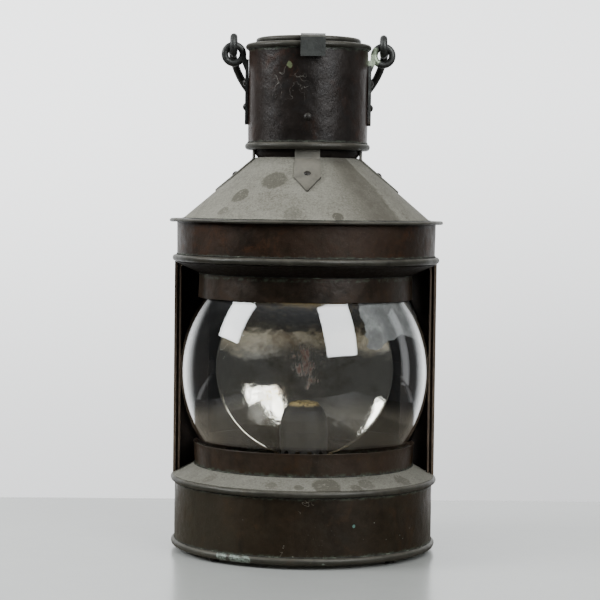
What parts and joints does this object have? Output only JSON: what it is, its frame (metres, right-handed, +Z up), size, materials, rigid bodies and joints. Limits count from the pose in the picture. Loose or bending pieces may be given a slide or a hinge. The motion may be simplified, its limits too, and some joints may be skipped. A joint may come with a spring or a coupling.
{
  "type": "ship lantern",
  "caption": "Copper masthead oil lantern with a barrel glass front, a rear door, a conical roof, a ventilated cowl with hinged lid, and a wire bail",
  "frame": {"origin": "on the ground at the centre of the base", "axes": "+Z up along the axis of the lantern, -Y toward the front glass, +Y toward the rear door, +X to the right seen from the front"},
  "size_m": [0.272, 0.272, 0.5116],
  "materials": {
    "copper_brown": "dark brown patina over copper sheet, scratched, greenish at the joints",
    "copper_bead": "dull grey brown rolled wire edges with verdigris lines",
    "copper_dusty": "copper sheet under a grey beige film of dust",
    "copper_inner": "sooty dark brown inner sheet",
    "strap_metal": "worn brown strap metal",
    "rivet_metal": "dark rivet heads",
    "forged_wire": "dark forged iron, dull",
    "lens_glass": "clear moulded glass, dusty and scratched",
    "putty": "dark putty gasket",
    "mirror_silver": "silvered copper reflector, tarnished",
    "lamp_brass": "dull brass of the oil lamp",
    "cotton": "woven cotton wick"
  },
  "bodies": {
    "lantern": {"bottom_plate": "copper_inner", "feet": "rivet_metal", "base_band": "copper_brown", "base_bead": "copper_bead", "shoulder_bead": "copper_bead", "shoulder_deck": "copper_dusty", "lower_collar": "copper_brown", "glass_gaskets": "putty", "barrel_glass": "lens_glass", "glass_end_left": "copper_inner", "glass_end_right": "copper_inner", "upper_collar": "copper_brown", "soffit": "copper_inner", "band_bead": "copper_bead", "upper_band": "copper_brown", "brim": "copper_bead", "roof_cone": "copper_dusty", "neck_tube": "copper_inner", "smoke_baffle": "copper_inner", "strap_front": "strap_metal", "strap_rear": "strap_metal", "strap_left": "strap_metal", "strap_right": "strap_metal", "strap_rivets": "rivet_metal", "cowl_tube": "copper_brown", "cowl_lower_bead": "copper_bead", "cowl_upper_bead": "copper_bead", "cowl_top": "copper_bead", "cowl_rivets": "rivet_metal", "eye_left": "forged_wire", "eye_right": "forged_wire", "eye_rivets": "rivet_metal", "cowl_leaf": "strap_metal", "leaf_rivets": "rivet_metal", "lid_pin": "forged_wire", "post_left": "copper_inner", "post_right": "copper_inner", "rear_shell": "copper_brown", "shell_leaves": "strap_metal", "door_pins": "forged_wire", "latch_stud": "rivet_metal", "reflector": "mirror_silver", "stay_left": "copper_inner", "stay_right": "copper_inner", "font_tray": "copper_inner", "oil_font": "lamp_brass", "burner": "lamp_brass", "wick_tube": "lamp_brass"},
    "lid": {"lid": "copper_dusty", "lid_bead": "copper_bead", "lid_catch": "strap_metal", "lid_leaf": "strap_metal"},
    "bail": {"bail": "forged_wire"},
    "rear_door": {"rear_door": "copper_brown", "door_leaves": "strap_metal", "door_pull": "rivet_metal"},
    "latch_button": {"latch_button": "rivet_metal"},
    "filler_cap": {"filler_cap": "lamp_brass"},
    "winder": {"winder": "lamp_brass"},
    "wick": {"wick": "cotton"}
  },
  "joints": [
    {"name": "lid_hinge", "type": "hinge", "parent": "lantern", "child": "lid", "pos_m": [0, 0.057, 0.5052], "axis": [-1, 0, 0], "range_deg": [0, 110]},
    {"name": "bail_swing", "type": "hinge", "parent": "lantern", "child": "bail", "pos_m": [0, 0, 0.4999], "axis": [1, 0, 0], "range_deg": [0, 273]},
    {"name": "door_hinge", "type": "hinge", "parent": "lantern", "child": "rear_door", "pos_m": [0.10134, 0.08443, 0.18], "axis": [0, 0, -1], "range_deg": [0, 115]},
    {"name": "latch_turn", "type": "hinge", "parent": "lantern", "child": "latch_button", "pos_m": [-0.10185, 0.08366, 0.18], "axis": [-0.7727, 0.6347, 0], "range_deg": [-90, 90]},
    {"name": "cap_turn", "type": "hinge", "parent": "lantern", "child": "filler_cap", "pos_m": [-0.045, 0.022, 0.08], "axis": [0, 0, 1], "range_deg": [0, 90]},
    {"name": "winder_turn", "type": "hinge", "parent": "lantern", "child": "winder", "pos_m": [0.04, 0.0059, 0.0855], "axis": [1, 0, 0], "range_deg": [-143, 57]},
    {"name": "wick_lift", "type": "slide", "parent": "lantern", "child": "wick", "axis": [0, 0, 1], "range_m": [-0.004, 0.01]}
  ],
  "couplings": [
    {"joint": "wick_lift", "follows": "winder_turn", "m_per_rad": -0.004}
  ]
}
